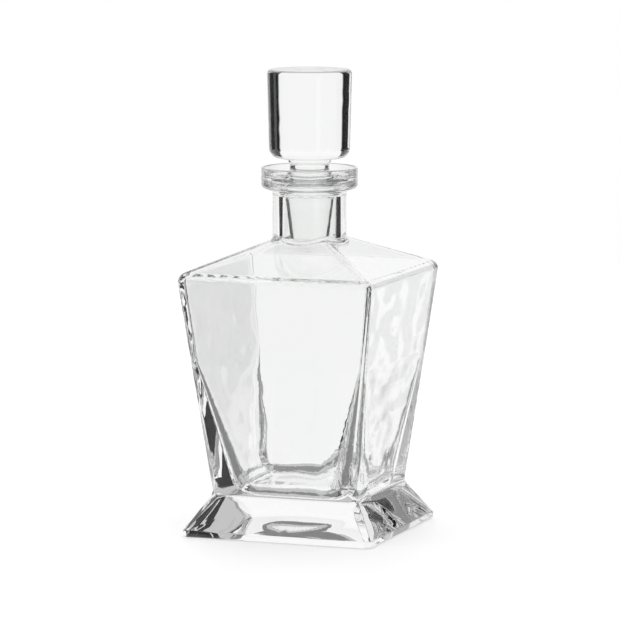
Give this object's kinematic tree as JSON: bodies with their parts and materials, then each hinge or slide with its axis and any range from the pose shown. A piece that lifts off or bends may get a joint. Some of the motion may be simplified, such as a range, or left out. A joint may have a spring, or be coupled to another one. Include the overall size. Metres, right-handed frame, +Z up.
{
  "type": "square decanter with stopper",
  "caption": "Clear crystal decanter with a tapering square body, flared square foot, pyramid shoulder, round neck with flared lip and a cylindrical lift-out stopper.",
  "frame": {"origin": "centre of the foot's underside, on the surface the decanter stands on", "axes": "+Z up along the neck, X and Y square to the flat body faces"},
  "size_m": [0.1082, 0.1082, 0.245],
  "materials": {
    "bottle_crystal": "polished clear crystal, slightly wavy inside",
    "stopper_crystal": "polished clear crystal"
  },
  "bodies": {
    "bottle": {"bottle": "bottle_crystal"},
    "stopper": {"stopper": "stopper_crystal"}
  },
  "joints": [
    {"name": "stopper_lift", "type": "slide", "parent": "bottle", "child": "stopper", "axis": [0, 0, 1], "range_m": [0, 0.06]}
  ]
}
